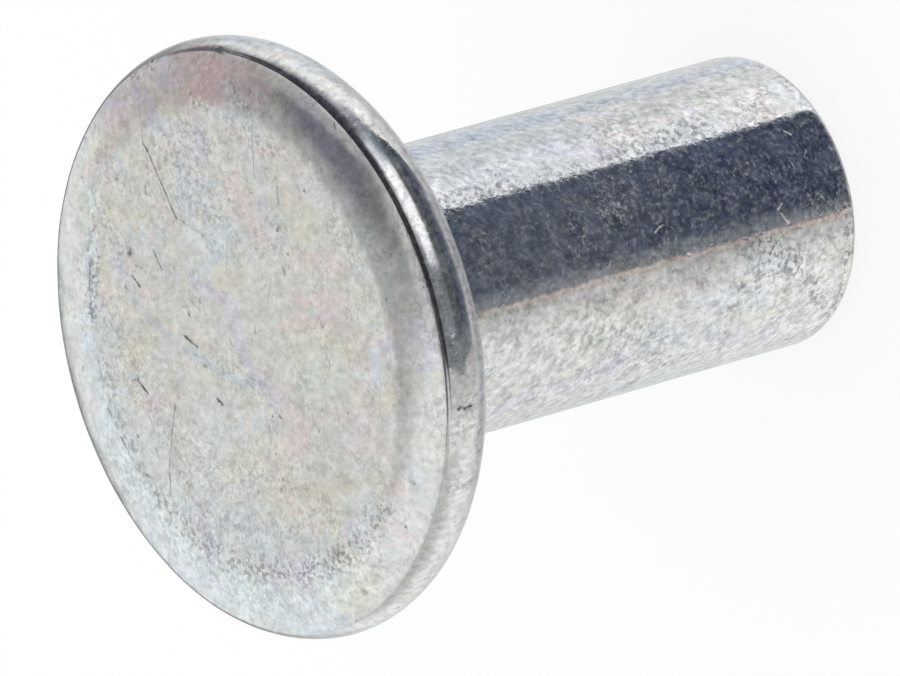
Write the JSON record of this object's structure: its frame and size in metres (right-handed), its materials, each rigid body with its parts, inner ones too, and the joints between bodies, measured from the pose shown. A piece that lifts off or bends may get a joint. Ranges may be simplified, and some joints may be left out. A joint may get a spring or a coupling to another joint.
{
  "type": "brake shoe rivet",
  "caption": "Semi-tubular steel rivet with a wide flat head, a straight shank and a blind bore in its end, for fixing a friction lining to a brake shoe.",
  "frame": {"origin": "middle of the shank's end face, which the rivet stands on", "axes": "+Z along the shank from its end up to the head, +X and +Y square to it; the shape is round about Z"},
  "size_m": [0.0162, 0.0162, 0.0183],
  "materials": {
    "zinc_plate": "bright zinc plate over cold headed steel, slightly iridescent, with tumbling marks and fine scratches"
  },
  "bodies": {
    "root": {"rivet": "zinc_plate"}
  },
  "joints": []
}
